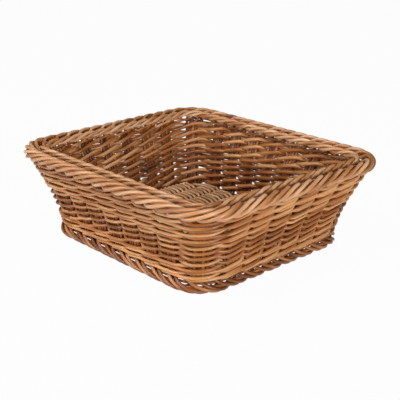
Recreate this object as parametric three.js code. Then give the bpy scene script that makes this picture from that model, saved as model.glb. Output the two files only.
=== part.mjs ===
// Woven plastic-cane basket with a flared rectangular body, a rolled border and an open foot border.
//
// Millimetres, +Z up. The origin is on the surface the basket stands on, under its middle.
// X runs along the long walls. The basket is built the way a basket maker builds it:
//   groups of cane rods run across the base in one direction and turn up as the wall stakes,
//   a weaver goes over and under them to fill the base,
//   rows of strands are twined round the stakes to fill the walls,
//   and a rolled border, with a rope beside it, closes the mouth, as a foot border closes the bottom.
// Positions round the wall are counted in stakes, anticlockwise seen from above. Stake 0 is the
// leftmost one of the front long wall, and a place halfway between two stakes is a half number.

import * as THREE from 'three';

// Overall sizes
const rimLength = 325;
const rimWidth = 285;
const footLength = 260;
const footWidth = 233;
const height = 104;
const rimCornerRadius = 45;
const footCornerRadius = 39;
const wallSag = 4.3;

// Cane and its spacing
const strandRadius = 1.45;
const strandDepth = 1.5;
const rodDiameter = 3;
const groupWidth = 13.8;
const groupFlat = 6.8;
const clearance = 0.3;
const touch = 0.1;
const seatGap = 0.3;

// Stakes: groups of rods counted on each kind of wall, one more stands in each corner
const longWallStakes = 7;
const shortWallStakes = 6;
const longStakeSpread = 0.655;
const shortStakeSpread = 0.625;
const bendRadius = 6;
const cornerRodRun = 21;
const baseLevel = 11;
const stakeSteps = 4;

// Base weaver: each pass is a flat pair of canes
const passWidth = 7.2;
const passThickness = 2.8;
const passGap = 0.3;
const turnReach = 8.9;
const turnWidth = 3;

// Rows of the wall, from the foot up: three-strand wales below and above, two-strand twining between
const lowerWales = 2;
const upperWales = 3;
const twineSwing = 2;
const bareUnderBorder = 2.1;
const rowsOverFoot = 1.2;

// Borders
const rollRadius = 7.2;
const rollCoils = 60;
const rollFaces = 8;
const rollCoilsPerTurn = 7;
const rollGroove = 1.1;
const wallOverRoll = 2;
const ropeRadius = 3.6;
const ropeLift = 2.6;
const ropeTurns = 20;
const ropeStrands = 3;
const ropeStepsPerTurn = 4;
const footHeight = 13;
const footStrokes = 60;
const footStrokeSweep = 3;
const footThickness = 8.6;
const footNotch = 3.2;
const footTopInset = 1.9;
const footBulgeHeight = 4.5;
const footBulgeRidge = 1;
const footEdgeInset = 1.8;
const cornerTuck = 1.6;
const wallInsideFoot = 2.7;

// Closest stakes are those of a long wall at the base, and the strands swing widest for them
const stakeLineRadius = footCornerRadius - wallInsideFoot - strandRadius - rodDiameter / 2;
const baseHalfX = footLength / 2 - wallInsideFoot - 2 * strandDepth - rodDiameter / 2;
const closestPitch = 2 * longStakeSpread * baseHalfX / (longWallStakes - 1);
const swing = (rodDiameter / 2 + strandDepth + clearance) / (1 - groupFlat / closestPitch);
const weaveDepth = swing + strandDepth;

// The stakes end under the rolled border, a little inside its middle, where its underside rises
const rollLevel = height - rollRadius;
const insideRoll = weaveDepth - wallOverRoll - rodDiameter / 2;
const stakeTop = rollLevel - rollRadius + insideRoll * Math.tan(Math.PI / rollFaces) - seatGap;
const rowsBottom = footHeight + rowsOverFoot;

function wallHalf(z, footHalf, rimHalf) {
  // Outer half size of the weave at a height: a straight flare that hollows in at mid height
  const t = z / stakeTop;
  const low = footHalf - wallInsideFoot;
  const high = rimHalf - rollRadius + wallOverRoll;
  return low + (high - low) * t - 4 * wallSag * t * (1 - t);
}

function stakeLine(z) {
  return {
    halfX: wallHalf(z, footLength / 2, rimLength / 2) - weaveDepth,
    halfY: wallHalf(z, footWidth / 2, rimWidth / 2) - weaveDepth,
    radius: stakeLineRadius
  };
}

function ringPoint(distance, ring) {
  // Point and outward direction on a rounded rectangle, measured anticlockwise from the middle
  // of its front side, which is the one that faces -Y
  const { halfX, halfY, radius } = ring;
  const arc = radius * Math.PI / 2;
  const sideX = 2 * (halfX - radius);
  const sideY = 2 * (halfY - radius);
  const around = 2 * sideX + 2 * sideY + 4 * arc;
  let rest = (distance + sideX / 2) % around;
  if (rest < 0) rest += around;
  const sides = [sideX, sideY, sideX, sideY];
  for (let side = 0; side < 4; side += 1) {
    const turn = (side - 1) * Math.PI / 2;
    const centre = side % 2 === 0 ? halfY : halfX;
    const across = new THREE.Vector2(Math.cos(turn), Math.sin(turn));
    const along = new THREE.Vector2(-across.y, across.x);
    const start = across.clone().multiplyScalar(centre).addScaledVector(along, -sides[side] / 2);
    if (rest <= sides[side]) {
      return { place: start.addScaledVector(along, rest), out: across };
    }
    rest -= sides[side];
    if (rest <= arc || side === 3) {
      const angle = turn + rest / radius;
      const pivot = start.addScaledVector(along, sides[side]).addScaledVector(across, -radius);
      const out = new THREE.Vector2(Math.cos(angle), Math.sin(angle));
      return { place: pivot.addScaledVector(out, radius), out };
    }
    rest -= arc;
  }
  return null;
}

function ringLength(ring) {
  return 4 * (ring.halfX + ring.halfY) - (8 - 2 * Math.PI) * ring.radius;
}

function stakeDistances(ring) {
  // Distance along the ring of every stake, with the first one repeated at the end
  const arc = ring.radius * Math.PI / 2;
  const sideX = ring.halfX - ring.radius;
  const sideY = ring.halfY - ring.radius;
  const places = [];
  const longPitch = 2 * longStakeSpread * ring.halfX / (longWallStakes - 1);
  const shortPitch = 2 * shortStakeSpread * ring.halfY / (shortWallStakes - 1);
  let middle = 0;
  for (let half = 0; half < 2; half += 1) {
    for (let i = 0; i < longWallStakes; i += 1) {
      places.push(middle + (i - (longWallStakes - 1) / 2) * longPitch);
    }
    places.push(middle + sideX + arc / 2);
    middle += sideX + arc + sideY;
    for (let i = 0; i < shortWallStakes; i += 1) {
      places.push(middle + (i - (shortWallStakes - 1) / 2) * shortPitch);
    }
    places.push(middle + sideY + arc / 2);
    middle += sideY + arc + sideX;
  }
  places.push(places[0] + ringLength(ring));
  return places;
}

const stakeCount = 2 * (longWallStakes + shortWallStakes + 2);

function isCorner(stake) {
  const half = stake % (stakeCount / 2);
  return half === longWallStakes || half === stakeCount / 2 - 1;
}

function wallPlace(stake, z) {
  // Place on the stake line at a stake number, which may fall between two stakes
  const ring = stakeLine(z);
  const places = stakeDistances(ring);
  const whole = Math.floor(stake);
  const index = ((whole % stakeCount) + stakeCount) % stakeCount;
  const distance = THREE.MathUtils.lerp(places[index], places[index + 1], stake - whole);
  const { place, out } = ringPoint(distance, ring);
  return { place: new THREE.Vector3(place.x, place.y, z), out: new THREE.Vector3(out.x, out.y, 0) };
}

function wallFrame(stake, z) {
  // Place, outward normal and upward slope of the wall
  const step = 0.5;
  const { place, out } = wallPlace(stake, z);
  const rise = wallPlace(stake, z + step).place.sub(place);
  const lean = rise.dot(out) / step;
  const up = out.clone().multiplyScalar(lean).setZ(1).normalize();
  const normal = new THREE.Vector3(-out.y, out.x, 0).cross(up).normalize();
  return { place, normal, up };
}

function solid(vertices, triangles) {
  // Closed geometry with its faces turned outward
  let volume = 0;
  for (const [a, b, c] of triangles) {
    volume += vertices[a].dot(vertices[b].clone().cross(vertices[c]));
  }
  const index = triangles.flatMap(([a, b, c]) => (volume > 0 ? [a, b, c] : [a, c, b]));
  const geometry = new THREE.BufferGeometry();
  geometry.setAttribute(
    'position',
    new THREE.Float32BufferAttribute(vertices.flatMap((v) => [v.x, v.y, v.z]), 3)
  );
  geometry.setIndex(index);
  return geometry;
}

function gridSolid(columns, rows, pointAt, shift = 0) {
  // Closed surface on a grid that wraps both ways, turned on by some columns at each wrap of rows.
  // Each cell is split along its shorter diagonal, which keeps slanting ridges clean.
  const vertices = [];
  for (let i = 0; i < columns; i += 1) {
    for (let j = 0; j < rows; j += 1) vertices.push(pointAt(i, j));
  }
  const at = (i, j) => {
    const column = (i + (j >= rows ? shift : 0)) % columns;
    return column * rows + (j % rows);
  };
  const triangles = [];
  for (let i = 0; i < columns; i += 1) {
    for (let j = 0; j < rows; j += 1) {
      const [a, b, c, d] = [at(i, j), at(i + 1, j), at(i + 1, j + 1), at(i, j + 1)];
      if (vertices[a].distanceTo(vertices[c]) < vertices[b].distanceTo(vertices[d])) {
        triangles.push([a, b, c], [a, c, d]);
      } else {
        triangles.push([a, b, d], [b, c, d]);
      }
    }
  }
  return solid(vertices, triangles);
}

function sweep(stations, outline, closed) {
  // Tube with one outline along stations, each with a place, a side direction and an up direction.
  // A station's bow is the curvature that bends the outline's edges away from its up direction.
  const vertices = [];
  const faces = outline.length;
  for (const { place, side, up, bow = 0 } of stations) {
    for (const [across, over] of outline) {
      const lift = over - bow * across ** 2 / 2;
      vertices.push(place.clone().addScaledVector(side, across).addScaledVector(up, lift));
    }
  }
  const spans = closed ? stations.length : stations.length - 1;
  const triangles = [];
  for (let i = 0; i < spans; i += 1) {
    const here = i * faces;
    const next = ((i + 1) % stations.length) * faces;
    for (let j = 0; j < faces; j += 1) {
      const k = (j + 1) % faces;
      triangles.push([here + j, here + k, next + k]);
      triangles.push([here + j, next + k, next + j]);
    }
  }
  if (!closed) {
    const last = (stations.length - 1) * faces;
    for (let j = 1; j < faces - 1; j += 1) {
      triangles.push([0, j + 1, j]);
      triangles.push([last, last + j, last + j + 1]);
    }
  }
  return solid(vertices, triangles);
}

function bestUp(direction, side) {
  return direction.clone().cross(side).normalize();
}

// Colours of the cane, from the lit outside to the shaded base
const caneColours = {
  border: '#cd9d6c',
  wall: '#b57b49',
  stake: '#a2683a',
  base: '#b98a57',
  foot: '#b27743'
};

const basket = new THREE.Group();

function addPiece(name, geometry, colour) {
  const material = new THREE.MeshStandardMaterial({
    color: colour,
    roughness: 0.45,
    metalness: 0,
    flatShading: true
  });
  geometry.computeVertexNormals();
  const mesh = new THREE.Mesh(geometry, material);
  mesh.name = name;
  basket.add(mesh);
}

// Section of a group of rods that lie side by side: flat in the middle and drawn in at its edges
const halfRod = rodDiameter / 2;
const groupOutline = [
  [-groupWidth / 2, 0],
  [-groupFlat / 2, -halfRod],
  [groupFlat / 2, -halfRod],
  [groupWidth / 2, 0],
  [groupFlat / 2, halfRod],
  [-groupFlat / 2, halfRod]
];

const wallStart = baseLevel + bendRadius;
const wallLevels = Array.from({ length: stakeSteps + 1 }, (_, i) => {
  return THREE.MathUtils.lerp(wallStart, stakeTop, i / stakeSteps);
});

function wallStation(stake, z, side) {
  const { place, up } = wallFrame(stake, z);
  return { place, side, up: bestUp(up, side) };
}

function crossRods(stakeFront, stakeBack) {
  // Group that starts at the top of the front wall, crosses the base and climbs the back wall
  const side = new THREE.Vector3(1, 0, 0);
  const stations = [];
  const front = wallPlace(stakeFront, wallStart).place;
  const flatEnd = Math.abs(front.y) - bendRadius;
  for (const z of [...wallLevels].reverse()) stations.push(wallStation(stakeFront, z, side));
  const crossing = [];
  for (const degrees of [60, 30, 0]) {
    const turn = THREE.MathUtils.degToRad(degrees);
    crossing.push([
      flatEnd + bendRadius * Math.sin(turn),
      baseLevel + bendRadius * (1 - Math.cos(turn)),
      turn
    ]);
  }
  for (const [y, z, turn] of crossing) {
    const along = new THREE.Vector3(0, -Math.cos(turn), Math.sin(turn));
    stations.push({ place: new THREE.Vector3(front.x, -y, z), side, up: bestUp(along, side) });
  }
  for (const [y, z, turn] of [...crossing].reverse()) {
    const along = new THREE.Vector3(0, Math.cos(turn), Math.sin(turn));
    const up = bestUp(along, side).negate();
    stations.push({ place: new THREE.Vector3(front.x, y, z), side, up });
  }
  for (const z of wallLevels) {
    const station = wallStation(stakeBack, z, side);
    stations.push({ ...station, up: station.up.negate() });
  }
  return sweep(stations, groupOutline, false);
}

const basePitch = Math.abs(wallPlace(0, wallStart).place.x - wallPlace(1, wallStart).place.x);
const flatEndY = Math.abs(wallPlace(0, wallStart).place.y) - bendRadius;
const cornerRodX = basePitch * (longWallStakes + 1) / 2;
const cornerRodEnd = flatEndY - cornerRodRun;

function cornerRods(stakeFront, stakeBack, sign) {
  // Outermost group of the base, which swings out to rise in the two corners of one end.
  // It bends to the curve of the corner where it stands in the wall.
  const halfOf = (stake, ySign) => {
    const corner = wallPlace(stake, wallStart).place;
    const diagonal = new THREE.Vector3(sign, ySign, 0).normalize();
    const cornerSide = new THREE.Vector3(1, -sign * ySign, 0).normalize();
    const bendStart = corner.clone().addScaledVector(diagonal, -bendRadius).setZ(baseLevel);
    const curve = new THREE.QuadraticBezierCurve3(
      new THREE.Vector3(sign * cornerRodX, ySign * cornerRodEnd, baseLevel),
      new THREE.Vector3(sign * cornerRodX, ySign * (cornerRodEnd + bendStart.y * ySign) / 2, baseLevel),
      bendStart
    );
    const half = [];
    for (const t of [0, 0.5, 1]) {
      const along = curve.getTangent(t);
      const side = new THREE.Vector3(along.y, -along.x, 0).multiplyScalar(ySign);
      half.push({ place: curve.getPoint(t), side, up: new THREE.Vector3(0, 0, -1) });
    }
    for (const degrees of [30, 60]) {
      const turn = THREE.MathUtils.degToRad(degrees);
      const up = diagonal.clone().multiplyScalar(Math.sin(turn)).setZ(-Math.cos(turn));
      const place = bendStart.clone().addScaledVector(diagonal, bendRadius * Math.sin(turn));
      place.z += bendRadius * (1 - Math.cos(turn));
      half.push({ place, side: cornerSide, up, bow: Math.sin(turn) / stakeLineRadius });
    }
    for (const z of wallLevels) {
      const { place, normal } = wallFrame(stake, z);
      half.push({ place, side: cornerSide, up: normal, bow: 1 / stakeLineRadius });
    }
    return half;
  };
  const stations = [...halfOf(stakeFront, -1).reverse(), ...halfOf(stakeBack, 1)];
  return sweep(stations, groupOutline, false);
}

function endRods(stake) {
  // Group of a short wall, which starts just over the foot border
  const side = new THREE.Vector3(0, 1, 0);
  const levels = [footHeight, ...wallLevels];
  return sweep(levels.map((z) => wallStation(stake, z, side)), groupOutline, false);
}

const halfTurn = stakeCount / 2;
for (let i = 0; i < longWallStakes; i += 1) {
  addPiece(`cross_rods_${i + 1}`, crossRods(i, halfTurn + longWallStakes - 1 - i), caneColours.stake);
}
addPiece('corner_rods_right', cornerRods(longWallStakes, halfTurn - 1, 1), caneColours.stake);
addPiece('corner_rods_left', cornerRods(stakeCount - 1, halfTurn + longWallStakes, -1), caneColours.stake);
for (let i = 0; i < shortWallStakes; i += 1) {
  const stake = longWallStakes + 1 + i;
  addPiece(`end_rods_right_${i + 1}`, endRods(stake), caneColours.stake);
  addPiece(`end_rods_left_${i + 1}`, endRods(stake + halfTurn), caneColours.stake);
}

function baseWeaver() {
  // One flat weaver that goes back and forth along X, over one group and under the next.
  // Passes near the long walls turn back inside the corner groups, which leave the base there.
  const baseSwing = (halfRod + passThickness / 2 + clearance) / (1 - groupFlat / basePitch);
  const pitch = passWidth + passGap;
  const passesAside = Math.floor((flatEndY - passWidth / 2) / pitch);
  const widePasses = Math.floor((cornerRodEnd - passWidth / 2) / pitch) - 1;
  const innerReach = (longWallStakes - 1) / 2;
  const reachOf = (pass) => (Math.abs(pass) <= widePasses ? innerReach + 1 : innerReach);
  const flat = new THREE.Vector3(0, 0, 1);
  const stations = [];
  for (let pass = -passesAside; pass <= passesAside; pass += 1) {
    const direction = (pass + passesAside) % 2 === 0 ? 1 : -1;
    const y = pass * pitch;
    const first = -Math.max(reachOf(pass), reachOf(pass - 1));
    const last = Math.max(reachOf(pass), reachOf(pass + 1));
    const liftAt = (group) => ((group + pass) % 2 === 0 ? baseSwing : -baseSwing);
    const turnAt = (group) => {
      const x = direction * (group * basePitch + Math.sign(group) * turnReach);
      const side = new THREE.Vector3(turnWidth / passWidth, -direction, 0);
      stations.push({ place: new THREE.Vector3(x, y, baseLevel + liftAt(group) / 2), side, up: flat });
    };
    if (pass > -passesAside) {
      const x = direction * (first * basePitch - turnReach);
      const middle = new THREE.Vector3(x, y - pitch / 2, baseLevel);
      stations.push({ place: middle, side: new THREE.Vector3(turnWidth / passWidth, 0, 0), up: flat });
      turnAt(first);
    }
    for (let group = first; group <= last; group += 1) {
      const place = new THREE.Vector3(group * direction * basePitch, y, baseLevel + liftAt(group));
      stations.push({ place, side: new THREE.Vector3(0, -direction, 0), up: flat });
    }
    if (pass < passesAside) turnAt(last);
  }
  const halfPass = passWidth / 2;
  const halfThick = passThickness / 2;
  const outline = [
    [-halfPass, -halfThick],
    [halfPass, -halfThick],
    [halfPass, halfThick],
    [-halfPass, halfThick]
  ];
  return sweep(stations, outline, false);
}

addPiece('base_weaver', baseWeaver(), caneColours.base);

// Strands of the wall
const strandOutline = [[0, -strandRadius], [strandDepth, 0], [0, strandRadius], [-strandDepth, 0]];

function cornerSwing(z) {
  // A strand passes a corner stake on straight runs, so it stands off further there
  const places = stakeDistances(stakeLine(z));
  const run = (places[longWallStakes] - places[longWallStakes - 1]) / 2;
  const flat = groupFlat / 2;
  const drop = flat * Math.sin(run / (2 * stakeLineRadius));
  return (halfRod + strandDepth + 2 * clearance + drop) / (1 - flat / run);
}

function strand(level, laneAt, everyGap) {
  // Closed strand round the basket. laneAt gives its depth, +1 outside and -1 inside, and its lift.
  const corners = cornerSwing(level);
  const route = [];
  for (let stake = 0; stake < stakeCount; stake += 1) {
    const here = laneAt(stake);
    const depth = here.depth > 0 && isCorner(stake) ? corners : here.depth * swing;
    route.push({ stake, depth, lift: here.lift });
    const nextCorner = isCorner(stake) || isCorner((stake + 1) % stakeCount);
    if (everyGap || nextCorner) {
      const between = laneAt(stake + 0.5);
      route.push({ stake: stake + 0.5, depth: between.depth * swing, lift: between.lift });
    }
  }
  const places = route.map(({ stake, depth, lift }) => {
    const { place, normal, up } = wallFrame(stake, level);
    return {
      place: place.clone().addScaledVector(normal, depth).addScaledVector(up, lift),
      normal
    };
  });
  const stations = places.map(({ place, normal }, i) => {
    const before = places[(i + places.length - 1) % places.length].place;
    const after = places[(i + 1) % places.length].place;
    const along = after.clone().sub(before).normalize();
    const side = normal.clone().addScaledVector(along, -normal.dot(along)).normalize();
    return { place, side, up: bestUp(along, side) };
  });
  return sweep(stations, strandOutline, true);
}

function mix(a, b, t) {
  return {
    depth: THREE.MathUtils.lerp(a.depth, b.depth, t),
    lift: THREE.MathUtils.lerp(a.lift, b.lift, t)
  };
}

// A wale strand passes outside two stakes, rising from the lower lane to the upper one, then
// inside one stake. Where one strand dives in, another comes out below it, a lane apart.
const waleLane = 2 * strandRadius + touch;
const waleRow = 2 * waleLane + 2 * strandRadius + touch;

function waleLaneAt(phase) {
  const lanes = [
    { depth: 1, lift: -waleLane },
    { depth: 1, lift: waleLane },
    { depth: -1, lift: 0 }
  ];
  return (stake) => {
    const whole = Math.floor(stake);
    const here = lanes[(whole + phase) % lanes.length];
    const next = lanes[(whole + 1 + phase) % lanes.length];
    return mix(here, next, stake - whole);
  };
}

// A twined strand passes outside one stake and inside the next, over its partner in one gap
// and under it in the following gap
const twineRow = 2 * twineSwing + 2 * strandRadius + touch;

function twineLaneAt(phase) {
  return (stake) => {
    const whole = Math.floor(stake);
    const outside = (whole + phase) % 2 === 0;
    if (stake > whole) return { depth: 0, lift: outside ? twineSwing : -twineSwing };
    return { depth: outside ? 1 : -1, lift: 0 };
  };
}

// Rows fill the wall between the foot border and the bare stakes under the rolled border
const weaveHeight = stakeTop - bareUnderBorder - rowsBottom;
const waleRows = lowerWales + upperWales;
const twineRows = Math.max(0, Math.floor((weaveHeight - waleRows * waleRow) / twineRow));
const stretch = weaveHeight / (waleRows * waleRow + twineRows * twineRow);

let rowBottom = rowsBottom;
let waleNumber = 0;
for (let row = 0; row < waleRows + twineRows; row += 1) {
  const isTwine = row >= lowerWales && row < lowerWales + twineRows;
  const rowHeight = (isTwine ? twineRow : waleRow) * stretch;
  const level = rowBottom + rowHeight / 2;
  if (isTwine) {
    for (let phase = 0; phase < 2; phase += 1) {
      const name = `twine_${row - lowerWales + 1}_strand_${phase + 1}`;
      addPiece(name, strand(level, twineLaneAt(phase), true), caneColours.wall);
    }
  } else {
    waleNumber += 1;
    for (let phase = 0; phase < 3; phase += 1) {
      const name = `wale_${waleNumber}_strand_${phase + 1}`;
      addPiece(name, strand(level, waleLaneAt(phase), false), caneColours.wall);
    }
  }
  rowBottom += rowHeight;
}

// Rolled border: cane ends laid over the stakes in tight slanting coils
const rollLine = {
  halfX: rimLength / 2 - rollRadius,
  halfY: rimWidth / 2 - rollRadius,
  radius: rimCornerRadius - rollRadius
};

function offsetPoint(distance, ring, outward, z) {
  const { place, out } = ringPoint(distance, ring);
  return new THREE.Vector3(place.x + out.x * outward, place.y + out.y * outward, z);
}

function rolledBorder() {
  const columns = 2 * rollCoils;
  const around = ringLength(rollLine);
  return gridSolid(
    columns,
    rollFaces,
    (i, j) => {
      const angle = 2 * Math.PI * j / rollFaces;
      const radius = i % 2 === 0 ? rollRadius : rollRadius - rollGroove;
      const along = (i / columns + rollCoilsPerTurn * j / (rollCoils * rollFaces)) * around;
      return offsetPoint(along, rollLine, radius * Math.cos(angle), rollLevel + radius * Math.sin(angle));
    },
    2 * rollCoilsPerTurn
  );
}

addPiece('rolled_border', rolledBorder(), caneColours.border);

// Rope of cane ends along the inner edge of the rolled border
function borderRope() {
  const reach = rollRadius + ropeRadius + seatGap;
  const inset = Math.sqrt(reach ** 2 - ropeLift ** 2);
  const ropeLine = {
    halfX: rollLine.halfX - inset,
    halfY: rollLine.halfY - inset,
    radius: rollLine.radius - inset
  };
  const columns = ropeStepsPerTurn * ropeTurns;
  const around = ringLength(ropeLine);
  return gridSolid(
    columns,
    ropeStrands,
    (i, j) => {
      const angle = 2 * Math.PI * (j / ropeStrands - i / ropeStepsPerTurn);
      const along = i / columns * around;
      const z = rollLevel + ropeLift + ropeRadius * Math.sin(angle);
      return offsetPoint(along, ropeLine, ropeRadius * Math.cos(angle), z);
    }
  );
}

addPiece('border_rope', borderRope(), caneColours.border);

// Foot border: cane ends sweep down and round to the flat edge that the basket stands on.
// Its inner top tucks under the bends of the corner groups, which stand further out than the others.
function footBorder() {
  const footLine = { halfX: footLength / 2, halfY: footWidth / 2, radius: footCornerRadius };
  const columns = 2 * footStrokes;
  const around = ringLength(footLine);
  const innerReach = footWidth / 2 - footThickness - flatEndY - cornerTuck;
  const underBend = bendRadius + halfRod + seatGap;
  const innerTop = baseLevel + bendRadius - Math.sqrt(underBend ** 2 - innerReach ** 2);
  const section = [
    { inward: footTopInset, high: footHeight, low: footHeight - footNotch, part: 0 },
    { inward: 0, high: footBulgeHeight, low: footBulgeHeight, ridge: footBulgeRidge, part: 2 / 3 },
    { inward: footEdgeInset, high: 0, low: 0, part: 1 },
    { inward: footThickness, high: 0, low: 0, part: 1 },
    { inward: footThickness, high: innerTop, low: innerTop, part: 1 / 3 }
  ];
  return gridSolid(columns, section.length, (i, j) => {
    const { inward, high, low, part, ridge = 0 } = section[j];
    const isCrest = i % 2 === 0;
    const along = (i / columns + footStrokeSweep * part / footStrokes) * around;
    return offsetPoint(along, footLine, -inward - (isCrest ? 0 : ridge), isCrest ? high : low);
  });
}

addPiece('foot_border', footBorder(), caneColours.foot);

export default basket;
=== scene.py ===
# %% [markdown]
# A woven basket of plastic cane is nothing but long round rods that pass over and under each other.
# So the whole basket is made with one helper that carries a round section along many paths at once,
# and each step below only works out where its rods run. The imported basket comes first: it gives the
# sizes and places that the rods keep to, and each dressed piece later stands for one of its solids.

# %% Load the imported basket
import math

import bpy
import numpy as np
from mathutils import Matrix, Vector


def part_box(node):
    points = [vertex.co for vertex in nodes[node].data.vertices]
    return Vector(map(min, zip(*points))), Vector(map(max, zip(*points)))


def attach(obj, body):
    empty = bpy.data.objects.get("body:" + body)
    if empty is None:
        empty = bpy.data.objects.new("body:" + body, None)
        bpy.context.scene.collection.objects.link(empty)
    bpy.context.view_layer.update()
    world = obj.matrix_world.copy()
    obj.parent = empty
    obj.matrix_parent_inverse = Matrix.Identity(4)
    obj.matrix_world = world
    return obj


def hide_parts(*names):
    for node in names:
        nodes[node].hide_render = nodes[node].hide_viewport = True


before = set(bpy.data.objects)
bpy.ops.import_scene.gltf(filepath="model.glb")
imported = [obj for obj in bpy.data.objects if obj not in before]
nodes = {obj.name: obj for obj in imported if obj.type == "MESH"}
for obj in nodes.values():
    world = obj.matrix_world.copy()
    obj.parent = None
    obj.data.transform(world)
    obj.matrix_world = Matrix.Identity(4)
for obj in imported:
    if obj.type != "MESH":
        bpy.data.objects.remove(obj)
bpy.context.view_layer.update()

# %% [markdown]
# The photograph was taken from above one corner with a long lens, so the walls hardly converge.
# A camera can be pushed about by hand until the picture looks right. This one is placed by its turn
# round the basket, its rise above the table and its distance, because each of these changes one
# thing only in the picture. A small lens shift puts the basket where it stands in the photograph.

# %% Camera
camera_turn = math.radians(47.38)
camera_rise = math.radians(19.65)
camera_distance = 0.98585
camera_aim = Vector((0.0, 0.0, 0.05))
lens_length = 78.1
picture_shift = (0.0096, -0.0148)

towards_camera = Vector((
    math.sin(camera_turn) * math.cos(camera_rise),
    -math.cos(camera_turn) * math.cos(camera_rise),
    math.sin(camera_rise),
))
camera_data = bpy.data.cameras.new("photo_camera")
camera_data.lens = lens_length
camera_data.shift_x, camera_data.shift_y = picture_shift
camera = bpy.data.objects.new("photo_camera", camera_data)
camera.location = camera_aim + towards_camera * camera_distance
camera.rotation_euler = (-towards_camera).to_track_quat("-Z", "Y").to_euler()
bpy.context.scene.collection.objects.link(camera)
bpy.context.scene.camera = camera
bpy.context.scene.view_settings.view_transform = "Standard"
print("camera at, m:", [round(value, 4) for value in camera.location])

# %% [markdown]
# Every material is a small tree of nodes. A tree can be drawn by hand in the shader editor, but
# built in code it reads from top to bottom. One function turns a written sRGB colour to the linear
# light that shaders work in, and one adds a node with its settings and its links.

# %% Colour and node helpers


def linear_colour(hex_text):
    """sRGB hex to linear: below a small threshold divide by 12.92, above it the 2.4 power curve."""
    channels = [int(hex_text[i:i + 2], 16) / 255 for i in (1, 3, 5)]
    linear = [c / 12.92 if c <= 0.04045 else ((c + 0.055) / 1.055) ** 2.4 for c in channels]
    return (*linear, 1.0)


def add_node(tree, kind, inputs=None, **settings):
    """One node with its settings; an input given as another node's socket is linked to it."""
    node = tree.nodes.new(kind)
    for name, value in settings.items():
        setattr(node, name, value)
    for name, value in (inputs or {}).items():
        if isinstance(value, bpy.types.NodeSocket):
            tree.links.new(value, node.inputs[name])
        else:
            node.inputs[name].default_value = value
    return node


def empty_material(name):
    """A material with nothing in its tree but the output, which is returned with the tree."""
    material = bpy.data.materials.new(name)
    material.use_nodes = True
    tree = material.node_tree
    tree.nodes.clear()
    return material, tree, add_node(tree, "ShaderNodeOutputMaterial")


print("middle grey in linear light:", round(linear_colour("#808080")[0], 3))

# %% [markdown]
# The picture is a cut-out on pure white. A plain white plane would come out grey in the basket's
# shade. So the floor is pale paper for the light that plays round the basket, and for rays that
# come straight from the camera, or off a shiny cane, it is mixed with plain white light. The shadow
# stays faint, and the gaps under the foot show as bright as in the photograph. The world is white to
# the camera too, but nearly dark to the basket, so that the lamps alone shape the canes.

# %% Floor and backdrop
floor_reach = 4.0
floor_white_share = 0.97
world_strength = 0.03

floor_mesh = bpy.data.meshes.new("floor")
floor_mesh.from_pydata(
    [(x * floor_reach, y * floor_reach, 0.0) for x, y in ((-1, -1), (1, -1), (1, 1), (-1, 1))],
    [],
    [(0, 1, 2, 3)],
)
floor = bpy.data.objects.new("floor", floor_mesh)
bpy.context.scene.collection.objects.link(floor)

# White paper: matte, it gives the eye a plain ground and sends a little light up into the weave
floor_material, tree, output = empty_material("white_paper_floor")
rays = add_node(tree, "ShaderNodeLightPath")
seen = add_node(
    tree, "ShaderNodeMath", {0: rays.outputs["Is Camera Ray"], 1: rays.outputs["Is Glossy Ray"]},
    operation="MAXIMUM",
)
share = add_node(tree, "ShaderNodeMath", {0: seen.outputs[0], 1: floor_white_share},
                 operation="MULTIPLY")
paper = add_node(tree, "ShaderNodeBsdfDiffuse", {"Color": linear_colour("#bcbab6")})
glow = add_node(tree, "ShaderNodeEmission", {"Color": (1, 1, 1, 1), "Strength": 1.0})
mixed = add_node(tree, "ShaderNodeMixShader",
                 {0: share.outputs[0], 1: paper.outputs[0], 2: glow.outputs[0]})
tree.links.new(mixed.outputs[0], output.inputs["Surface"])
floor_mesh.materials.append(floor_material)

world = bpy.data.worlds.new("studio")
bpy.context.scene.world = world
world.use_nodes = True
tree = world.node_tree
tree.nodes.clear()
rays = add_node(tree, "ShaderNodeLightPath")
strength = add_node(
    tree, "ShaderNodeMapRange",
    {"Value": rays.outputs["Is Camera Ray"], "To Min": world_strength, "To Max": 1.0},
)
sky = add_node(tree, "ShaderNodeBackground",
               {"Color": (1, 1, 1, 1), "Strength": strength.outputs["Result"]})
tree.links.new(sky.outputs[0], add_node(tree, "ShaderNodeOutputWorld").inputs["Surface"])
print("floor, m across:", 2 * floor_reach)

# %% [markdown]
# The photographer's lamps leave no hard shadows, but the gaps of the weave are dark. A bright world
# would fill the gaps. Three square lamps do better: a key lamp high in front of the long wall lights
# the border and the base, and a low one before each of the two near walls picks out its strands.

# %% Lamps
lamp_size = 0.5
lamps = (
    ("key_softbox", (-0.1, -1.0, 1.7), 19.5),
    ("left_softbox", (-0.5, -1.5, 0.32), 10.5),
    ("right_softbox", (1.5, -0.4, 0.45), 17.5),
)


def soft_lamp(name, place, power):
    """A square area lamp of a power in watts, at a place in metres, that faces the basket."""
    data = bpy.data.lights.new(name, "AREA")
    data.size = lamp_size
    data.energy = power
    lamp = bpy.data.objects.new(name, data)
    lamp.location = place
    lamp.rotation_euler = (camera_aim - Vector(place)).to_track_quat("-Z", "Y").to_euler()
    bpy.context.scene.collection.objects.link(lamp)


for name, place, power in lamps:
    soft_lamp(name, place, power)
print("lamps:", [name for name, _, _ in lamps])

# %% [markdown]
# The rods are extruded polyethylene cane: a smooth, slightly waxy plastic drawn through a die,
# streaked lengthwise in two or three browns to look like willow. A plain colour would look like
# painted wire. So the colour runs in long fine streaks along each rod, every rod has a tone of its
# own, and a faint bump follows the streaks. A texture laid over the whole object couldn't turn with
# the rods, so each rod carries its own coordinates: where a point lies round it, and how far along.

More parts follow.
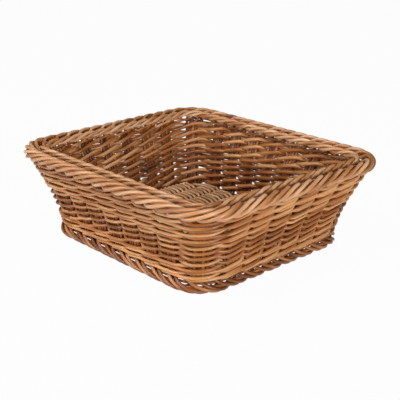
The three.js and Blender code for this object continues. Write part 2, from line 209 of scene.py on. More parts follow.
# %% Cane material
streak_width = 0.55
streak_length = 22.0
streak_detail, streak_roughness, streak_weight = 3.0, 0.6, 0.6
patch_width, patch_length = 10 / 3, 60.0
tone_offset = 37.0
shade_stop, base_stop, tint_stop = 0.42, 0.76, 1.0
bump_strength, bump_depth = 0.35, 0.0003
plastic_ior = 1.5


def cane_noise(tree, width, length, offset, **inputs):
    """Noise drawn out along a rod: the rod's own coordinates divided by a width and a length, in
    mm, and an offset of its own for every rod in the fourth dimension."""
    run = add_node(tree, "ShaderNodeAttribute", attribute_name="cane_run")
    place = add_node(
        tree, "ShaderNodeMapping",
        {"Vector": run.outputs["Vector"], "Scale": (1 / width, 1 / width, 1 / length)},
    )
    return add_node(
        tree, "ShaderNodeTexNoise",
        {"Vector": place.outputs[0], "W": offset.outputs[0], "Scale": 1.0, **inputs},
        noise_dimensions="4D",
    )


def cane_material(name, shade, base, tint, rough, tone_range=0.16):
    """Extruded polyethylene cane in three browns, which gives long streaks and a soft waxy shine.
    The place on the colour ramp is the streaks times their weight, plus long patches, plus the
    rod's own tone."""
    material, tree, output = empty_material(name)
    tone = add_node(tree, "ShaderNodeAttribute", attribute_name="cane_tone")
    offset = add_node(tree, "ShaderNodeMath", {0: tone.outputs["Fac"], 1: tone_offset},
                      operation="MULTIPLY")
    streaks = cane_noise(tree, streak_width, streak_length, offset,
                         Detail=streak_detail, Roughness=streak_roughness)
    patches = cane_noise(tree, patch_width, patch_length, offset, Detail=1.0)
    toned = add_node(
        tree, "ShaderNodeMapRange",
        {"Value": tone.outputs["Fac"], "To Min": -tone_range, "To Max": tone_range},
    )
    level = add_node(tree, "ShaderNodeMath",
                     {0: patches.outputs["Fac"], 1: toned.outputs["Result"]}, operation="ADD")
    mixed = add_node(
        tree, "ShaderNodeMath",
        {0: streaks.outputs["Fac"], 1: streak_weight, 2: level.outputs[0]},
        operation="MULTIPLY_ADD",
    )
    ramp = add_node(tree, "ShaderNodeValToRGB", {"Fac": mixed.outputs[0]})
    stops = ramp.color_ramp.elements
    stops[0].position, stops[0].color = shade_stop, linear_colour(shade)
    stops[1].position, stops[1].color = tint_stop, linear_colour(tint)
    stops.new(base_stop).color = linear_colour(base)
    bump = add_node(
        tree, "ShaderNodeBump",
        {"Strength": bump_strength, "Distance": bump_depth, "Height": streaks.outputs["Fac"]},
    )
    shader = add_node(
        tree, "ShaderNodeBsdfPrincipled",
        {"Base Color": ramp.outputs["Color"], "Normal": bump.outputs["Normal"],
         "Roughness": rough, "IOR": plastic_ior},
    )
    tree.links.new(shader.outputs[0], output.inputs["Surface"])
    return material


# Wall: the red-brown of the strands, even in tone and with a clear shine
wall_cane = cane_material("extruded_cane_wall", "#3a1000", "#b06b31", "#dea66e", 0.36, 0.12)
# Stakes: a darker and duller cane; the darkness is painted shade that deepens the gaps between the
# strands
stake_cane = cane_material("extruded_cane_stakes_painted_shade", "#341000", "#8a4a1e", "#b27642", 0.42)
# Base: a pale cane, painted light that makes the base the lightest part of the inside
base_cane = cane_material("extruded_cane_base_painted_light", "#844820", "#e0ae7c", "#f0cca4", 0.45)
# Border: a lighter tan, painted light on the roll, with the clearest shine, so that every band of the
# roll has its highlight
border_cane = cane_material("extruded_cane_border_painted_light", "#5a2808", "#c28654", "#e0b48a", 0.34, 0.08)
# Foot: nearly as dark as the stakes, painted shade on the plain edge that closes the basket below
foot_cane = cane_material("extruded_cane_foot_painted_shade", "#361000", "#8c5022", "#bc804c", 0.4)
print("materials:", [m.name for m in bpy.data.materials])

# %% [markdown]
# Blender can turn a curve into a round rod by itself, but then the rod's own coordinates, its
# swelling and its closed ends are hard to steer. So the rods are meshes worked out with numpy. A
# helper takes many paths of the same number of points as one array, sets up a frame at each point
# from the path's own direction and a given outward direction, and lays a ring of points round it.

# %% Rings round a path
MM = 0.001
cane_radius = 1.85
stake_radius = 1.97
rod_sides = 8
ring_angles = 2 * np.pi * np.arange(rod_sides) / rod_sides


def unit(vectors):
    """Each vector divided by its length."""
    return vectors / np.linalg.norm(vectors, axis=-1, keepdims=True)


def ring_points(paths, outward, radius, closed):
    """Points round paths, in mm. Each ring is centre + radius (cos a side + sin a over), where
    side is the outward direction made square to the path, and over is square to both."""
    if closed:
        along = unit(np.roll(paths, -1, 1) - np.roll(paths, 1, 1))
    else:
        along = unit(np.gradient(paths, axis=1))
    outward = np.broadcast_to(outward, paths.shape)
    side = unit(outward - along * np.sum(outward * along, -1, keepdims=True))
    over = np.cross(along, side)
    radii = np.broadcast_to(radius, paths.shape[:2])[..., None, None]
    cosines, sines = np.cos(ring_angles)[:, None], np.sin(ring_angles)[:, None]
    return paths[:, :, None] + radii * (cosines * side[:, :, None] + sines * over[:, :, None])


def run_lengths(paths):
    """Distance along each path at each point, and at the end that of the way back to the start."""
    legs = np.linalg.norm(np.diff(paths, axis=1, append=paths[:, :1]), axis=-1)
    return np.concatenate([np.zeros((len(paths), 1)), np.cumsum(legs, 1)], 1)


print("rod section: a ring of", rod_sides, "points")

# %% [markdown]
# Four-sided faces join each ring to the next. A closed strand goes back to its first ring, and any
# other rod is a cut end on both sides, which is filled with a row of four-sided faces as well, so
# that every rod is a closed solid. All the rods of a group become one piece.

# %% Rods along paths
draw = np.random.default_rng(11)


def skin_faces(count, steps, closed):
    """Faces between the rings, and for each face corner its place round the rod and its ring. The
    number of a point is (rod times steps, plus ring) times sides, plus its place in the ring."""
    spans = steps if closed else steps - 1
    rod, span, edge = np.meshgrid(
        np.arange(count), np.arange(spans), np.arange(rod_sides), indexing="ij")
    turned = (edge + 1) % rod_sides
    around = np.stack([edge, turned, turned, edge], -1)
    ring = np.stack([span, span, span + 1, span + 1], -1)
    faces = (rod[..., None] * steps + ring % steps) * rod_sides + around
    return faces.reshape(-1, 4), around, ring


def end_faces(count, steps):
    """Faces across the first and last ring of every rod, each from one side of it to the other."""
    first = np.arange(rod_sides // 2 - 1)
    cap = np.stack([first, first + 1, rod_sides - 2 - first, rod_sides - 1 - first], -1)
    start = np.arange(count)[:, None, None] * steps * rod_sides
    near = start + cap[:, ::-1]
    far = start + (steps - 1) * rod_sides + cap
    return np.concatenate([near.reshape(-1, 4), far.reshape(-1, 4)])


def rods(name, paths, outward, radius=cane_radius, closed=False):
    """Round rods along paths, in mm, as one object. A face corner's coordinates are cos a, sin a
    and the length run so far, and every rod draws a tone of its own."""
    paths = np.asarray(paths, float)
    count, steps, _ = paths.shape
    points = ring_points(paths, outward, radius, closed)
    faces, around, ring = skin_faces(count, steps, closed)
    length = run_lengths(paths)[np.arange(count)[:, None, None, None], ring]
    coordinates = np.stack(
        [np.cos(ring_angles)[around], np.sin(ring_angles)[around], length], -1).reshape(-1, 3)
    if not closed:
        ends = end_faces(count, steps)
        faces = np.concatenate([faces, ends])
        coordinates = np.concatenate([coordinates, np.zeros((ends.size, 3))])

    mesh = bpy.data.meshes.new(name)
    mesh.from_pydata((points * MM).reshape(-1, 3), [], faces)
    mesh.shade_smooth()
    run = mesh.attributes.new("cane_run", "FLOAT_VECTOR", "CORNER")
    run.data.foreach_set("vector", coordinates.astype(np.float32).ravel())
    tone = mesh.attributes.new("cane_tone", "FLOAT", "POINT")
    tones = np.repeat(draw.random(count), steps * rod_sides)
    tone.data.foreach_set("value", tones.astype(np.float32))
    piece = bpy.data.objects.new(name, mesh)
    bpy.context.scene.collection.objects.link(piece)
    return piece


def dress(piece, material, slot, *nodes):
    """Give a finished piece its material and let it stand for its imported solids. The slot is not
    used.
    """
    piece.data.materials.append(material)
    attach(piece, "root")
    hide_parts(*nodes)


print("faces of a rod with 10 rings:", len(skin_faces(1, 10, False)[0]) + len(end_faces(1, 10)))

# %% [markdown]
# The walls flare out from a small foot to a wide rim, a little hollow at mid height, and their
# corners are rounded. Each strand could be drawn on a wall of its own, but the stakes and the
# strands have to meet. So a place on the wall is given by a stake number and a height: stake 0 is
# the leftmost one of the front long wall, and the count goes round anticlockwise seen from above.

# %% Shape of the wall
_, foot_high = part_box("foot_border")
roll_low, roll_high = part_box("rolled_border")
foot_half = np.array([foot_high.x, foot_high.y]) / MM
rim_half = np.array([roll_high.x, roll_high.y]) / MM
roll_radius = (roll_high.z - roll_low.z) / MM / 2
roll_level = roll_high.z / MM - roll_radius
stake_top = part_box("end_rods_right_1")[1].z / MM
wall_inside_foot = 2.7
wall_over_roll = 2.0
wall_sag = 4.3
corner_radius = 33.35
swing = 3.6
weave_depth = 5.8
wall_low = foot_half - wall_inside_foot
wall_high = rim_half - roll_radius + wall_over_roll


def wall_halves(z):
    """Half sizes of the line the stakes stand on: a straight flare from foot to rim, less a sag
    that is widest at mid height, less the depth of the weave outside it."""
    t = z / stake_top
    return [wall_low[i] + (wall_high[i] - wall_low[i]) * t - 4 * wall_sag * t * (1 - t) - weave_depth
            for i in (0, 1)]


def wall_slopes(z):
    """How fast those half sizes grow with height, the derivative of the same formula."""
    t = z / stake_top
    return [(wall_high[i] - wall_low[i] - 4 * wall_sag * (1 - 2 * t)) / stake_top for i in (0, 1)]


def ring_place(distance, half_x, half_y, radius):
    """Points and outward directions on rounded rectangles, by distance anticlockwise from the
    middle of the front side: on a side the point slides, and past its end it turns round a pivot."""
    distance, half_x, half_y, radius = np.broadcast_arrays(distance, half_x, half_y, radius)
    quarter = radius * np.pi / 2
    sides = [2 * (half_x - radius), 2 * (half_y - radius)]
    rest = np.mod(distance + sides[0] / 2, 2 * (sides[0] + sides[1]) + 4 * quarter)
    place = np.zeros(rest.shape + (2,))
    out = np.zeros(rest.shape + (2,))
    start = np.zeros(rest.shape)
    for number in range(4):
        length = sides[number % 2]
        reach = (half_y, half_x)[number % 2] - radius
        turn = (number - 1) * np.pi / 2
        step = rest - start
        here = (step >= 0) & (step <= length + quarter)
        slide = np.clip(step, 0, length) - length / 2
        angle = turn + np.clip((step - length) / radius, 0, np.pi / 2)
        facing = np.stack([np.cos(angle), np.sin(angle)], -1)
        pivot = np.stack([
            reach * np.cos(turn) - slide * np.sin(turn),
            reach * np.sin(turn) + slide * np.cos(turn),
        ], -1)
        place = np.where(here[..., None], pivot + radius[..., None] * facing, place)
        out = np.where(here[..., None], facing, out)
        start = start + length + quarter
    return place, out


def ring_length(half_x, half_y, radius):
    """Once round a rounded rectangle: its four sides, less what the four rounded corners save."""
    return 4 * (half_x + half_y) - (8 - 2 * np.pi) * radius


print("stake line at the rim, half sizes in mm:", np.round(wall_halves(stake_top), 1))

# %% [markdown]
# The stakes stand evenly along each wall, and one more stands in the middle of each corner. Higher
# up the wall is longer, so their distances are worked out anew for every height that is asked for.
# Between two stakes, a fraction of the stake number gives the same fraction of the way.

# %% Places on the wall
long_stakes, short_stakes = 7, 6
long_spread, short_spread = 0.655, 0.625
stake_count = 2 * (long_stakes + short_stakes + 2)


def stake_distances(half_x, half_y):
    """Distance of every stake round the wall, on a last axis, with the first one repeated."""
    half_x, half_y = np.asarray(half_x, float), np.asarray(half_y, float)
    long_pitch = 2 * long_spread * half_x / (long_stakes - 1)
    short_pitch = 2 * short_spread * half_y / (short_stakes - 1)
    arc = corner_radius * np.pi / 2
    places, middle = [], 0 * half_x
    for _ in range(2):
        places += [middle + (i - (long_stakes - 1) / 2) * long_pitch for i in range(long_stakes)]
        places.append(middle + half_x - corner_radius + arc / 2)
        middle = middle + half_x + half_y - 2 * corner_radius + arc
        places += [middle + (i - (short_stakes - 1) / 2) * short_pitch for i in range(short_stakes)]
        places.append(middle + half_y - corner_radius + arc / 2)
        middle = middle + half_x + half_y - 2 * corner_radius + arc
    places.append(places[0] + ring_length(half_x, half_y, corner_radius))
    return np.stack(places, -1)


def wall_point(stake, z, depth=0.0, aside=0.0):
    """Points and normals of the wall at stake numbers and heights, a depth out along the normal
    and some way aside along the wall. The normal is the outward direction tipped down by the lean."""
    stake, z, depth, aside = np.broadcast_arrays(stake, z, depth, aside)
    half_x, half_y = wall_halves(z)
    spots = stake_distances(half_x, half_y)
    whole = np.floor(stake).astype(int)
    first = (whole % stake_count)[..., None]
    here = np.take_along_axis(spots, first, -1)[..., 0]
    after = np.take_along_axis(spots, first + 1, -1)[..., 0]
    distance = here + (stake - whole) * (after - here) + aside
    place, out = ring_place(distance, half_x, half_y, corner_radius)
    slope_x, slope_y = wall_slopes(z)
    lean = np.abs(out[..., 0]) * slope_x + np.abs(out[..., 1]) * slope_y
    flat = 1 / np.sqrt(1 + lean ** 2)
    normal = np.concatenate([out * flat[..., None], (-lean * flat)[..., None]], -1)
    return np.concatenate([place, z[..., None]], -1) + depth[..., None] * normal, normal


print("stakes:", stake_count)

# %% [markdown]
# The stakes are groups of four rods laid side by side. Seven groups lie across the base and turn up
# as the stakes of both long walls. Just under the border the four rods of a group part and lean
# over, so that light falls between them. The two walls and the base could be three pieces, but the
# real rods go through in one, so one path runs down the front, over the base and up the back.

# %% Stakes of the long walls
group_rods = 4
rod_pitch = 4.0
fan_pitch = 7.2
fan_lean = 6.0
fan_start = 84.0
fan_end = 91.0
stake_end = 92.5
base_level = 11.0
bend_radius = 6.0
wall_start = base_level + bend_radius
wall_points, bend_points, base_points = 24, 5, 12
rod_steps = np.arange(group_rods) - (group_rods - 1) / 2


def ease(t):
    """Smooth step from 0 to 1: 3 t squared less 2 t cubed."""
    t = np.clip(t, 0, 1)
    return t * t * (3 - 2 * t)


def fanned(z, order):
    """How far aside each rod of a group stands at a height: its place in the group times the rod
    pitch, which widens under the border, less a lean that grows with it."""
    spread = ease((z - fan_start) / (fan_end - fan_start))
    return order * (rod_pitch + (fan_pitch - rod_pitch) * spread) - fan_lean * spread


wall_heights = np.linspace(wall_start, stake_end, wall_points)
bend = np.linspace(0, np.pi / 2, bend_points)[1:]


def crossing_paths(front, back):
    """Rods from the top of the front wall, down, over the base and up the back wall. A bend is a
    quarter circle: reach + radius cos a out, and radius (1 - sin a) up."""
    order = rod_steps[:, None]
    up_front, _ = wall_point(float(front), wall_heights[None], 0.0, fanned(wall_heights, order))
    up_back, _ = wall_point(float(back), wall_heights[None], 0.0, fanned(wall_heights, -order))
    foot = up_front[:, 0]
    reach = np.abs(foot[:, 1:2]) - bend_radius
    out = reach + bend_radius * np.cos(bend)
    rise = np.broadcast_to(base_level + bend_radius * (1 - np.sin(bend)), out.shape)
    across = np.broadcast_to(foot[:, :1], out.shape)
    turn_front = np.stack([across, -out, rise], -1)
    turn_back = np.stack([across, out, rise], -1)
    flat_y = np.linspace(-1, 1, base_points)[1:-1] * reach
    flat = np.stack([
        np.broadcast_to(foot[:, :1], flat_y.shape), flat_y, np.full(flat_y.shape, base_level),
    ], -1)
    return np.concatenate(
        [up_front[:, ::-1], turn_front, flat, turn_back[:, ::-1], up_back], 1)


half_turn = stake_count // 2
for i in range(long_stakes):
    paths = crossing_paths(i, half_turn + long_stakes - 1 - i)
    piece = rods(f"long_stakes_{i + 1}", paths, np.array([1.0, 0.0, 0.0]), stake_radius)
    dress(piece, stake_cane, "stake_cane", f"cross_rods_{i + 1}")
print("rod of a long wall has", paths.shape[1], "points")

# %% [markdown]
# The outermost group of the base at each end isn't needed for a long wall. Its ends swing out to
# the two corners instead and rise there. Its centre line is a straight run, a short curve and a
# bend, and each rod lies beside it. One corner is worked out, and the signs of X and Y give the
# other three.

# %% Stakes of the corners
corner_stake_run = 21.0
run_points, curve_points = 5, 6
first_run_share = 0.1
front_foot, _ = wall_point(np.array([0.0, 1.0]), wall_start)
base_pitch = front_foot[1, 0] - front_foot[0, 0]
flat_reach = -front_foot[0, 1] - bend_radius
corner_rod_x = base_pitch * (long_stakes + 1) / 2
corner_rod_y = flat_reach - corner_stake_run


def corner_half(stake, x_sign, y_sign):
    """Paths from the middle of the base to the top of one corner. The curve is quadratic: (1 - t)
    squared of the run's end, plus 2 t (1 - t) of a knee, plus t squared of the bend's start."""
    order = rod_steps[:, None] * x_sign * y_sign
    rising, _ = wall_point(float(stake), wall_heights[None], 0.0, fanned(wall_heights, -order))
    foot, normal = wall_point(float(stake), wall_start)
    diagonal = unit(np.array([normal[0], normal[1]]))
    beside = np.array([-diagonal[1], diagonal[0]])
    start = foot[:2] - bend_radius * diagonal
    straight = np.stack([
        np.full(run_points, x_sign * corner_rod_x),
        y_sign * np.linspace(first_run_share, 1, run_points) * corner_rod_y,
    ], -1)
    knee = np.array([x_sign * corner_rod_x, y_sign * (corner_rod_y + abs(start[1])) / 2])
    t = np.linspace(0, 1, curve_points)[1:, None]
    curve = (1 - t) ** 2 * straight[-1] + 2 * t * (1 - t) * knee + t ** 2 * start
    line = np.concatenate([straight, curve])
    along = unit(np.gradient(line, axis=0))
    sideways = np.stack([-along[:, 1], along[:, 0]], -1)
    flat = line[None] - (order * rod_pitch)[..., None] * sideways[None]
    flat = np.concatenate([flat, np.full(flat.shape[:2] + (1,), base_level)], -1)
    out = bend_radius * np.sin(bend[:-1])
    turned = start + out[:, None] * diagonal
    turned = turned[None] - (order * rod_pitch)[..., None] * beside
    rise = base_level + bend_radius * (1 - np.cos(bend[:-1]))
    turned = np.concatenate(
        [turned, np.broadcast_to(rise[None, :, None], turned.shape[:2] + (1,))], -1)
    return np.concatenate([flat, turned, rising], 1)


for name, x_sign, stakes in (
    ("right", 1, (long_stakes, half_turn - 1)),
    ("left", -1, (stake_count - 1, half_turn + long_stakes)),
):
    front = corner_half(stakes[0], x_sign, -1)
    back = corner_half(stakes[1], x_sign, 1)
    paths = np.concatenate([front[:, ::-1], back], 1)
    piece = rods(f"corner_stakes_{name}", paths, np.array([float(x_sign), 0.0, 0.0]), stake_radius)
    dress(piece, stake_cane, "stake_cane", f"corner_rods_{name}")
print("corner groups lie at x, mm:", round(corner_rod_x, 1))

# %% [markdown]
# The groups of the two short walls are set in afterwards. They could run lengthwise through the base
# like the others run across it, but no such rods are seen there in the photograph. So these groups
# start at the edge of the base and go straight up.

# %% Stakes of the short walls
short_heights = np.linspace(base_level, stake_end, wall_points + 2)
for i in range(short_stakes):
    for name, stake in (("right", long_stakes + 1 + i), ("left", long_stakes + 1 + i + half_turn)):
        order = rod_steps[:, None]
        paths, _ = wall_point(
            float(stake), short_heights[None], 0.0, fanned(short_heights, order))
        piece = rods(f"short_stakes_{name}_{i + 1}", paths, np.array([0.0, 1.0, 0.0]), stake_radius)
        dress(piece, stake_cane, "stake_cane", f"end_rods_{name}_{i + 1}")
print("short wall groups:", 2 * short_stakes)

# %% [markdown]
# The base is filled by one long weaver that goes back and forth along the basket, over one group
# and under the next. Each pass is a height that swings up and down between the groups, and
# neighbouring passes swing the other way. Separate passes would leave open ends all round the base,
# so every second pass is turned about and all of them are joined to one path.

# %% Base weaver
pass_pitch = 3.3
weaver_radius = 1.6
pass_points = 76
half_group = 6.6
edge_gap = 4.5
arc_margin = 1.0


def base_edge(y):
    """How far along X the base reaches at a given Y: the stake line at base level, less a gap. In
    the corners it is the root of the arc's radius squared less the way past its start squared."""
    half_x, half_y = wall_halves(base_level)
    past = np.clip(np.abs(y) - (half_y - corner_radius), 0, corner_radius - edge_gap - arc_margin)
    return half_x - corner_radius + np.sqrt((corner_radius - edge_gap) ** 2 - past ** 2)


def pass_line(number):
    """One pass along X. Its height is base level plus the sine of a quarter turn times a swing,
    which is 1 or -1 over the width of each group and 0 at the edges of the base."""
    y = number * pass_pitch
    edge = base_edge(y)
    groups = np.arange(-(long_stakes + 1) // 2, (long_stakes + 1) // 2 + 1)
    groups = groups[np.abs(groups) * base_pitch < edge - half_group]
    side = np.where((groups + number) % 2 == 0, 1.0, -1.0)
    group_edges = np.stack([groups * base_pitch - half_group, groups * base_pitch + half_group], -1)
    knots = np.concatenate([[-edge], group_edges.ravel(), [edge]])
    heights = np.concatenate([[0.0], np.repeat(side, 2), [0.0]])
    x = np.linspace(-edge, edge, pass_points)
    wave = np.sin(np.interp(x, knots, heights) * np.pi / 2)
    return np.stack([x, np.full(x.shape, y), base_level + (stake_radius + weaver_radius) * wave], -1)


passes = int(flat_reach // pass_pitch)
route = []
for number in range(-passes, passes + 1):
    line = pass_line(number)
    route.append(line if number % 2 == 0 else line[::-1])
piece = rods("base_weaving", np.concatenate(route)[None], np.array([0.0, 0.0, 1.0]), weaver_radius)
dress(piece, base_cane, "base_cane", "base_weaver")
print("passes of the base weaver:", 2 * passes + 1)

# %% [markdown]
# The walls are woven in rows. A wavy pattern pressed into a plain wall would look woven from afar,
# but no light would fall through it, so every strand is a rod of its own. It lies flat against a
# group, inside or outside, and swings through in the gap behind it. Where strands pass each other
# in a gap they run level, and across a group they climb or fall on a straight slope, which gives the
# leaf-shaped openings of the wall. Between and inside the stakes a strand swells a little, to stand
# for real ones that are pressed together there, and small seeded differences keep the rows from
# looking stamped.

# %% Path of a strand
points_per_stake = 12
outer_radius, inner_radius = 1.76, 2.35
swell_start = 0.7
strand_hold = 6.4
lift_hold = 0.12
lift_spread = 0.22
depth_spread = 0.16
strand_stakes = np.arange(stake_count * points_per_stake) / points_per_stake


def between(values, stake, gaps, hold):
    """Values given at the stakes, held for some way each side and eased from one to the next."""
    whole = np.floor(stake).astype(int) % stake_count
    run = (stake - np.floor(stake)) * gaps[whole]
    t = ease((run - hold) / (gaps[whole] - 2 * hold))
    return values[whole] + (values[(whole + 1) % stake_count] - values[whole]) * t


def gap_lift(values):
    """Lift of a strand from its value in every gap: level in the middle of a gap, where strands
    lie over each other, and on a straight slope to the next value across the stake between."""
    place = strand_stakes + 0.5
    after = np.floor(place).astype(int) % stake_count
    before = values[after - 1]
    t = np.clip((place - np.floor(place) - lift_hold) / (1 - 2 * lift_hold), 0, 1)
    return before + (values[after] - before) * t


def strand_path(level, sides, lift):
    """Closed strand at a level, with its normals and radii. Its depth eases between the side it
    takes at each stake, its lift is given round the basket, and both have a little seeded
    unevenness. Its radius swells by a share from 0 to 1: the swell start less depth over swing."""
    half_x, half_y = wall_halves(level)
    gaps = np.diff(stake_distances(half_x, half_y))
    depth = between(sides * swing, strand_stakes, gaps, strand_hold)
    rough_depth = draw.normal(0, depth_spread, stake_count)
    rough_lift = draw.normal(0, lift_spread, stake_count)
    outer = np.where(depth > 0, np.minimum(0, between(rough_depth, strand_stakes, gaps, 0)), 0)
    z = level + lift + between(rough_lift, strand_stakes, gaps, 0)
    path, normal = wall_point(strand_stakes, z, depth + outer)
    inside = np.clip(swell_start - depth / swing, 0, 1)
    return path[None], normal[None], outer_radius + (inner_radius - outer_radius) * inside


print("points of a strand:", len(strand_stakes))

# %% [markdown]
# In a waled row three strands each pass outside two stakes and inside one, so that two of them
# always lie on the outside. In a twined row two strands cross in every gap and take turns outside
# and inside the stakes. One function weaves both kinds, because they differ only in the side and the
# lift that a strand has at each stake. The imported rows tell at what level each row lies.

# %% Rows of the wall
twine_lift = 2.1
wale_gap = 0.1
last_level, last_lift, last_radius = 88.9, 1.8, 1.6


def row_level(prefix, strands):
    """Middle height of a row and how far its strands climb from it, from their packed boxes."""
    boxes = [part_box(f"{prefix}_strand_{n + 1}") for n in range(strands)]
    low, high = min(b[0].z for b in boxes) / MM, max(b[1].z for b in boxes) / MM
    return (low + high) / 2, (high - low) / 2 - cane_radius - wale_gap


def weave(name, level, sides, lift, slot, node, radius=None):
    """One finished strand of a row, with its swelling radius unless a plain one is given."""
    path, normal, swelling = strand_path(level, sides, lift)
    piece = rods(name, path, normal, swelling if radius is None else radius, closed=True)
    dress(piece, wall_cane, slot, node)


twine_rows = sum(name.startswith("twine_") for name in nodes) // 2
wale_rows = sum(name.startswith("wale_") for name in nodes) // 3
numbers = np.arange(stake_count)
for row in range(wale_rows):
    level, reach = row_level(f"wale_{row + 1}", 3)
    for phase in range(3):
        sides = np.where((numbers - phase - row) % 3 == 2, -1.0, 1.0)
        lift = gap_lift(reach * ((numbers + 1 - phase - row) % 3 - 1.0))
        weave(f"wale_row_{row + 1}_cane_{phase + 1}", level, sides, lift,
              "wall_cane", f"wale_{row + 1}_strand_{phase + 1}")
for row in range(twine_rows):
    level, reach = row_level(f"twine_{row + 1}", 2)
    for phase in range(2):
        sides = np.where((numbers + phase + row) % 2 == 0, 1.0, -1.0)
        weave(f"twine_row_{row + 1}_cane_{phase + 1}", level, sides, gap_lift(twine_lift * sides),
              "wall_cane", f"twine_{row + 1}_strand_{phase + 1}")

# One more twined row is pressed up into the underside of the rolled border
for phase in range(2):
    sides = np.where((numbers + phase) % 2 == 0, 1.0, -1.0)
    weave(f"last_row_cane_{phase + 1}", last_level, sides, gap_lift(last_lift * sides),
          "border_cane", "rolled_border", last_radius)
print("rows:", wale_rows, "waled and", twine_rows, "twined, and one more under the border")

# %% [markdown]
# The rolled border is what the stakes become: their ends are carried forward under the roll, up
# its outside and over the top in long slanting bands, and their tips pass under the rope beside it.
# A twisted ring would look much the same from outside, but its bands would never end. So each band
# has a path of its own. Its angle round the middle of the roll grows steadily as it runs along the
# rim, it starts deeper, under the bands before it, and past the crest a curve leads its tip away.

# %% Rolled border
roll_bands = 66
roll_corner = 37.8
roll_from, roll_to = math.radians(-112), math.radians(109)
roll_run = 70.0
roll_dip, dip_share = 3.9, 0.28
wrap_share = 0.8
tail_knee, tail_end = (-6.0, 0.5), (-13.5, -3.0)
roll_rod = 2.0
roll_margin = 0.05
band_points = 30
band_spread = 0.6
roll_half = rim_half - roll_radius
roll_around = ring_length(roll_half[0], roll_half[1], roll_corner)
band_pitch = roll_around / roll_bands
band_t = np.linspace(0, 1, band_points)


def roll_path(start, reach):
    """Bands wrapped round the roll. The angle grows evenly with the run, the distance from the
    middle dips where a band starts, and past the crest a quadratic curve leads under the rope:
    (1 - s) squared of the crest, plus 2 s (1 - s) of a knee, plus s squared of the end."""
    wrap = np.clip(band_t / wrap_share, 0, 1)
    s = np.clip((band_t - wrap_share) / (1 - wrap_share), 0, 1)
    angle = roll_from + (roll_to - roll_from) * wrap
    away = reach - roll_dip * (1 - ease(wrap / dip_share))
    aside, above = (
        crest * (1 - s) ** 2 + 2 * s * (1 - s) * knee + s ** 2 * end
        for crest, knee, end in zip((away * np.cos(angle), away * np.sin(angle)), tail_knee, tail_end)
    )
    along = start[:, None] + roll_run * band_t
    place, out = ring_place(along, roll_half[0], roll_half[1], roll_corner)
    flat = place + out * aside[:, None]
    z = np.broadcast_to(roll_level + above, along.shape)
    radial = np.concatenate([
        out * np.cos(angle)[:, None], np.broadcast_to(np.sin(angle)[:, None], along.shape + (1,)),
    ], -1)
    return np.concatenate([flat, z[..., None]], -1), radial


starts = np.arange(roll_bands) * band_pitch + draw.normal(0, band_spread, roll_bands)
paths, paths_out = roll_path(starts, roll_radius - roll_rod - roll_margin)
piece = rods("border_roll", paths, paths_out, roll_rod)
dress(piece, border_cane, "border_cane", "rolled_border")
print("bands of the border:", roll_bands, "every", round(band_pitch, 1), "mm")

# %% [markdown]
# The real roll is full of the ends of earlier bands, and through an empty one the light would show.
# All those ends could be drawn, but only a little of them is seen between the bands. So a loose
# bundle of five rods, which winds slowly round the middle of the roll, stands for them. They are in
# the darker stake cane, painted shade inside the roll.

# %% Filling of the roll
fill_rods, fill_turns, fill_points = 5, 6, 240
fill_reach, fill_radius = 2.7, 1.8


def wound(name, half, corner, level, count, turns, points, reach, radius):
    """Closed rods that wind round a rounded rectangle at a level. Each rod's angle round that line
    is its share of a full turn, plus the turns times the share of the way round the basket."""
    share = np.arange(points) / points
    around = ring_length(half[0], half[1], corner)
    place, out = ring_place(share * around, half[0], half[1], corner)
    angle = 2 * np.pi * (np.arange(count)[:, None] / count + turns * share)
    radial = np.concatenate([out * np.cos(angle)[..., None], np.sin(angle)[..., None]], -1)
    line = np.concatenate([place, np.full((points, 1), level)], -1)
    return rods(name, line + reach * radial, radial, radius, closed=True)


piece = wound("border_filling", roll_half, roll_corner, roll_level,
              fill_rods, fill_turns, fill_points, fill_reach, fill_radius)
dress(piece, stake_cane, "border_cane", "rolled_border")
print("rods in the roll:", fill_rods)

# %% [markdown]
# Along the inner edge of the roll the ends are finished off as a plait, which looks like a rope of
# three strands. A real plait takes in new ends and drops old ones all the time. From a step away
# only its twist is seen, so three closed strands, wound by the same function, stand for it.

# %% Border rope
rope_strands = 3
rope_turns = 20
rope_reach = 2.6
rope_rod = 1.95
rope_inset = 14.8
rope_lift = 2.65
points_per_turn = 18
piece = wound("border_plait", roll_half - rope_inset, roll_corner - rope_inset,
              roll_level + rope_lift, rope_strands, rope_turns, rope_turns * points_per_turn,
              rope_reach, rope_rod)
dress(piece, border_cane, "border_cane", "border_rope")
print("strands of the plait:", rope_strands)

# %% [markdown]
# The foot border is made of pairs of rods. They come out from under the lowest row, sweep down and
# round, and wrap under the edge that the basket stands on, with open gaps between the pairs. A
# closed ring with grooves would hide those gaps, so every rod has its own path again. Two rods that
# run all round, inside the wrapping, keep the foot from looking empty.

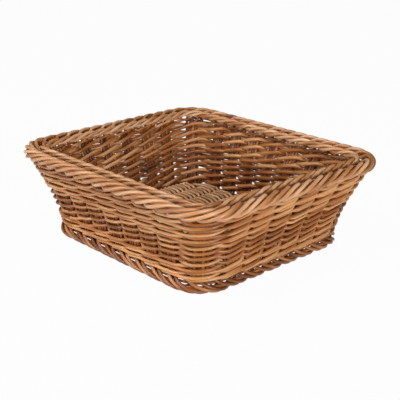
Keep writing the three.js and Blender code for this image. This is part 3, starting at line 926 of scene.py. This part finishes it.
# %% Foot border
foot_pairs = 34
foot_points = 26
foot_corner = 39.0
foot_roll = 4.0
foot_run = 54.0
foot_from, foot_to = math.radians(98), math.radians(-185)
foot_start_reach = 9.3
foot_drop_share = 0.3
foot_shift_top, foot_shift_bottom = 11.0, 7.0
foot_t = np.linspace(0, 1, foot_points)
foot_centre = foot_roll + cane_radius
foot_line = foot_half - foot_centre
foot_line_corner = foot_corner - foot_centre
foot_around = ring_length(foot_line[0], foot_line[1], foot_line_corner)


def foot_path(start, shift):
    """Rods that close in on a small roll: the angle falls evenly with the run, and the distance
    from the roll's middle shrinks as a square from the wall to the roll."""
    angle = foot_from + (foot_to - foot_from) * foot_t
    close = np.clip(1 - foot_t / foot_drop_share, 0, 1) ** 2
    away = foot_roll + (foot_start_reach - foot_roll) * close
    along = start[:, None] + foot_run * foot_t + shift
    place, out = ring_place(along, foot_line[0], foot_line[1], foot_line_corner)
    flat = place + out * (away * np.cos(angle))[:, None]
    z = np.broadcast_to(foot_centre + away * np.sin(angle), along.shape)
    radial = np.concatenate([
        out * np.cos(angle)[:, None], np.broadcast_to(np.sin(angle)[:, None], along.shape + (1,)),
    ], -1)
    return np.concatenate([flat, z[..., None]], -1), radial


starts = np.arange(foot_pairs) * foot_around / foot_pairs
shift = foot_shift_top + (foot_shift_bottom - foot_shift_top) * foot_t
first, first_out = foot_path(starts, 0)
second, second_out = foot_path(starts, shift)
piece = rods("foot_plait", np.concatenate([first, second]), np.concatenate([first_out, second_out]))
dress(piece, foot_cane, "foot_cane", "foot_border")
print("pairs of the foot:", foot_pairs)

# %% Rods inside the foot
core_points = 240
core_at = np.linspace(0, foot_around, core_points, endpoint=False)
place, out = ring_place(core_at, foot_line[0], foot_line[1], foot_line_corner)
outward = np.concatenate([out, np.zeros((core_points, 1))], -1)
# How far outside and above the middle of the foot's roll each rod runs, and its radius
for number, (outside, above, radius) in enumerate(((0.0, 0.0, 2.1), (-0.8, 4.6, 1.3))):
    level = np.full((core_points, 1), foot_centre + above)
    core = np.concatenate([place + out * outside, level], -1)
    piece = rods(f"foot_core_{number + 1}", core[None], outward[None], radius, closed=True)
    # The darker stake cane on these rods is painted shade inside the wrapping
    dress(piece, stake_cane, "foot_cane", "foot_border")
print("length of a rod inside the foot, mm:", round(foot_around))
